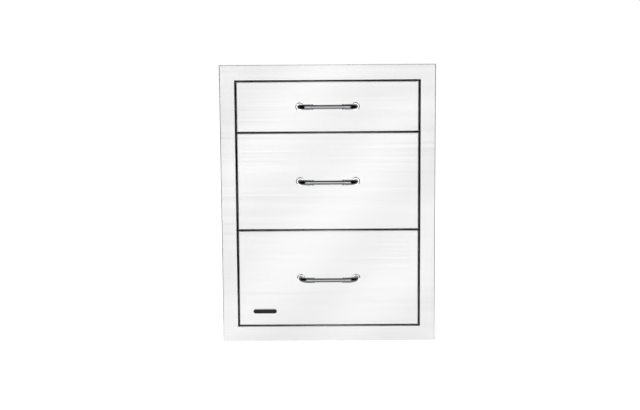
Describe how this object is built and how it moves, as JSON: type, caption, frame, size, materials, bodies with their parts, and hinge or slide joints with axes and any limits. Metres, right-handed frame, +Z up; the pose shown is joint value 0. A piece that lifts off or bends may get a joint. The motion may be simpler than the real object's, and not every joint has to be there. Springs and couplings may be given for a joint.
{
  "type": "outdoor kitchen drawer unit",
  "caption": "Stainless drop-in drawer unit for an outdoor kitchen island, with a flat trim frame, flush drawer fronts, bar handles and full-extension ball slides.",
  "frame": {"origin": "middle of the trim frame's lower edge, in the plane of the frame's back, which lies on the island's face", "axes": "+X to the right seen from the front, +Y into the island (the drawers open towards -Y), +Z up"},
  "size_m": [0.495, 0.5565, 0.643],
  "materials": {
    "brushed_stainless": "satin",
    "polished_chrome": "polished",
    "zinc_steel": "zinc-plated",
    "nylon": "moulded"
  },
  "bodies": {
    "cabinet": {"face_frame": "brushed_stainless", "cabinet_side_left": "brushed_stainless", "cabinet_side_right": "brushed_stainless", "cabinet_top": "brushed_stainless", "cabinet_bottom": "brushed_stainless", "cabinet_back": "brushed_stainless", "slide_outer_upper_left": "zinc_steel", "slide_outer_upper_right": "zinc_steel", "slide_outer_middle_left": "zinc_steel", "slide_outer_middle_right": "zinc_steel", "slide_outer_lower_left": "zinc_steel", "slide_outer_lower_right": "zinc_steel", "slide_stops": "nylon"},
    "drawer_upper": {"drawer_front_upper": "brushed_stainless", "front_liner_upper": "brushed_stainless", "tray_upper": "brushed_stainless", "tray_back_upper": "brushed_stainless", "handle_bar_upper": "polished_chrome", "handle_posts_upper": "polished_chrome", "handle_rosettes_upper": "polished_chrome", "slide_inner_upper_left": "zinc_steel", "slide_inner_upper_right": "zinc_steel"},
    "slide_members_upper": {"slide_middle_upper_left": "zinc_steel", "slide_middle_upper_right": "zinc_steel"},
    "outer_cages_upper": {"outer_cage_upper_left": "nylon", "outer_cage_upper_right": "nylon"},
    "inner_cages_upper": {"inner_cage_upper_left": "nylon", "inner_cage_upper_right": "nylon"},
    "drawer_middle": {"drawer_front_middle": "brushed_stainless", "front_liner_middle": "brushed_stainless", "tray_middle": "brushed_stainless", "tray_back_middle": "brushed_stainless", "handle_bar_middle": "polished_chrome", "handle_posts_middle": "polished_chrome", "handle_rosettes_middle": "polished_chrome", "slide_inner_middle_left": "zinc_steel", "slide_inner_middle_right": "zinc_steel"},
    "slide_members_middle": {"slide_middle_middle_left": "zinc_steel", "slide_middle_middle_right": "zinc_steel"},
    "outer_cages_middle": {"outer_cage_middle_left": "nylon", "outer_cage_middle_right": "nylon"},
    "inner_cages_middle": {"inner_cage_middle_left": "nylon", "inner_cage_middle_right": "nylon"},
    "drawer_lower": {"drawer_front_lower": "brushed_stainless", "front_liner_lower": "brushed_stainless", "tray_lower": "brushed_stainless", "tray_back_lower": "brushed_stainless", "handle_bar_lower": "polished_chrome", "handle_posts_lower": "polished_chrome", "handle_rosettes_lower": "polished_chrome", "slide_inner_lower_left": "zinc_steel", "slide_inner_lower_right": "zinc_steel"},
    "slide_members_lower": {"slide_middle_lower_left": "zinc_steel", "slide_middle_lower_right": "zinc_steel"},
    "outer_cages_lower": {"outer_cage_lower_left": "nylon", "outer_cage_lower_right": "nylon"},
    "inner_cages_lower": {"inner_cage_lower_left": "nylon", "inner_cage_lower_right": "nylon"}
  },
  "joints": [
    {"name": "drawer_upper_slide", "type": "slide", "parent": "cabinet", "child": "drawer_upper", "axis": [0, -1, 0], "range_m": [0, 0.45]},
    {"name": "slide_members_upper_slide", "type": "slide", "parent": "cabinet", "child": "slide_members_upper", "axis": [0, -1, 0], "range_m": [0, 0.225]},
    {"name": "outer_cages_upper_slide", "type": "slide", "parent": "cabinet", "child": "outer_cages_upper", "axis": [0, -1, 0], "range_m": [0, 0.1125]},
    {"name": "inner_cages_upper_slide", "type": "slide", "parent": "cabinet", "child": "inner_cages_upper", "axis": [0, -1, 0], "range_m": [0, 0.3375]},
    {"name": "drawer_middle_slide", "type": "slide", "parent": "cabinet", "child": "drawer_middle", "axis": [0, -1, 0], "range_m": [0, 0.45]},
    {"name": "slide_members_middle_slide", "type": "slide", "parent": "cabinet", "child": "slide_members_middle", "axis": [0, -1, 0], "range_m": [0, 0.225]},
    {"name": "outer_cages_middle_slide", "type": "slide", "parent": "cabinet", "child": "outer_cages_middle", "axis": [0, -1, 0], "range_m": [0, 0.1125]},
    {"name": "inner_cages_middle_slide", "type": "slide", "parent": "cabinet", "child": "inner_cages_middle", "axis": [0, -1, 0], "range_m": [0, 0.3375]},
    {"name": "drawer_lower_slide", "type": "slide", "parent": "cabinet", "child": "drawer_lower", "axis": [0, -1, 0], "range_m": [0, 0.45]},
    {"name": "slide_members_lower_slide", "type": "slide", "parent": "cabinet", "child": "slide_members_lower", "axis": [0, -1, 0], "range_m": [0, 0.225]},
    {"name": "outer_cages_lower_slide", "type": "slide", "parent": "cabinet", "child": "outer_cages_lower", "axis": [0, -1, 0], "range_m": [0, 0.1125]},
    {"name": "inner_cages_lower_slide", "type": "slide", "parent": "cabinet", "child": "inner_cages_lower", "axis": [0, -1, 0], "range_m": [0, 0.3375]}
  ],
  "couplings": [
    {"joint": "slide_members_upper_slide", "follows": "drawer_upper_slide", "ratio": 0.5},
    {"joint": "outer_cages_upper_slide", "follows": "drawer_upper_slide", "ratio": 0.25},
    {"joint": "inner_cages_upper_slide", "follows": "drawer_upper_slide", "ratio": 0.75},
    {"joint": "slide_members_middle_slide", "follows": "drawer_middle_slide", "ratio": 0.5},
    {"joint": "outer_cages_middle_slide", "follows": "drawer_middle_slide", "ratio": 0.25},
    {"joint": "inner_cages_middle_slide", "follows": "drawer_middle_slide", "ratio": 0.75},
    {"joint": "slide_members_lower_slide", "follows": "drawer_lower_slide", "ratio": 0.5},
    {"joint": "outer_cages_lower_slide", "follows": "drawer_lower_slide", "ratio": 0.25},
    {"joint": "inner_cages_lower_slide", "follows": "drawer_lower_slide", "ratio": 0.75}
  ]
}
